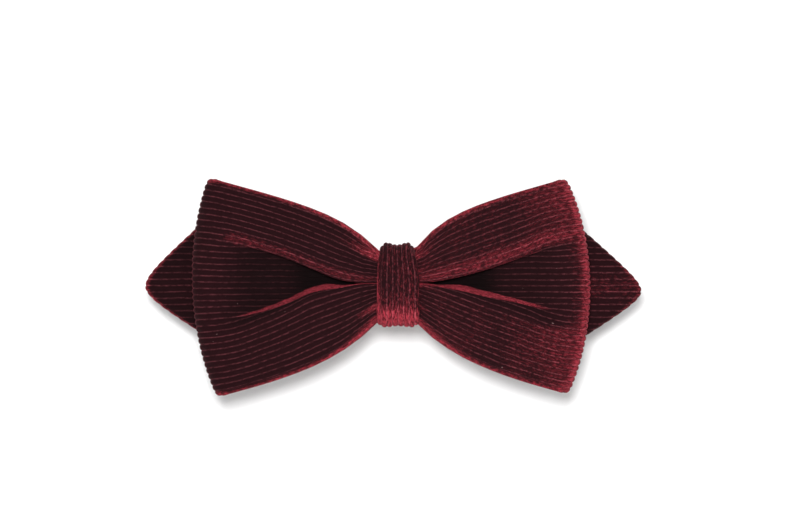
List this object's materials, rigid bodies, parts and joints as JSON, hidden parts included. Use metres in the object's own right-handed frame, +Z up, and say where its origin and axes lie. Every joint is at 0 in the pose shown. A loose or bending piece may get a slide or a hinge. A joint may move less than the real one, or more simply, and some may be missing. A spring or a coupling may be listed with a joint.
{
  "type": "bow tie",
  "caption": "Clip-on bow tie of ribbed corduroy velvet: a looped butterfly bow over a pointed tail strip, a ribbed centre knot and a sprung collar clip behind.",
  "frame": {"origin": "centre of the clip's raised seat, where the front of a collar rests against the tie", "axes": "+X along the bow to the right as seen from the front, +Z up as worn, +Y back towards the wearer, so the front faces -Y"},
  "size_m": [0.1274, 0.0283, 0.0554],
  "materials": {
    "corduroy": "deep burgundy fine-wale corduroy velvet, bright sheen along the ribs",
    "canvas": "unbleached stiffening canvas",
    "felt": "dark burgundy felt",
    "thread": "burgundy sewing thread",
    "nickel_plate": "bright nickel-plated steel, lightly scuffed",
    "spring_steel": "drawn spring wire"
  },
  "bodies": {
    "tie": {"front_bow_cover": "corduroy", "front_bow_stiffener": "canvas", "tail_cover": "corduroy", "tail_stiffener": "canvas", "knot_band_cover": "corduroy", "knot_band_stiffener": "canvas", "waist_gathering_thread": "thread", "knot_closing_thread": "thread", "backing_patch": "felt", "left_clip_thread": "thread", "right_clip_thread": "thread", "clip_base_plate": "nickel_plate", "left_hinge_pin": "nickel_plate", "right_hinge_pin": "nickel_plate", "left_torsion_spring": "spring_steel", "right_torsion_spring": "spring_steel"},
    "left_jaw": {"left_clip_jaw": "nickel_plate"},
    "right_jaw": {"right_clip_jaw": "nickel_plate"}
  },
  "joints": [
    {"name": "left_jaw_hinge", "type": "hinge", "parent": "tie", "child": "left_jaw", "pos_m": [-0.01, 0.0032, 0], "axis": [0, 0, -1], "range_deg": [0, 22], "stiffness_Nm_per_rad": 0.08, "springref_deg": -34.38, "deforming": ["left_torsion_spring"]},
    {"name": "right_jaw_hinge", "type": "hinge", "parent": "tie", "child": "right_jaw", "pos_m": [0.01, 0.0032, 0], "axis": [0, 0, 1], "range_deg": [0, 22], "stiffness_Nm_per_rad": 0.08, "springref_deg": -34.38, "deforming": ["right_torsion_spring"]}
  ]
}
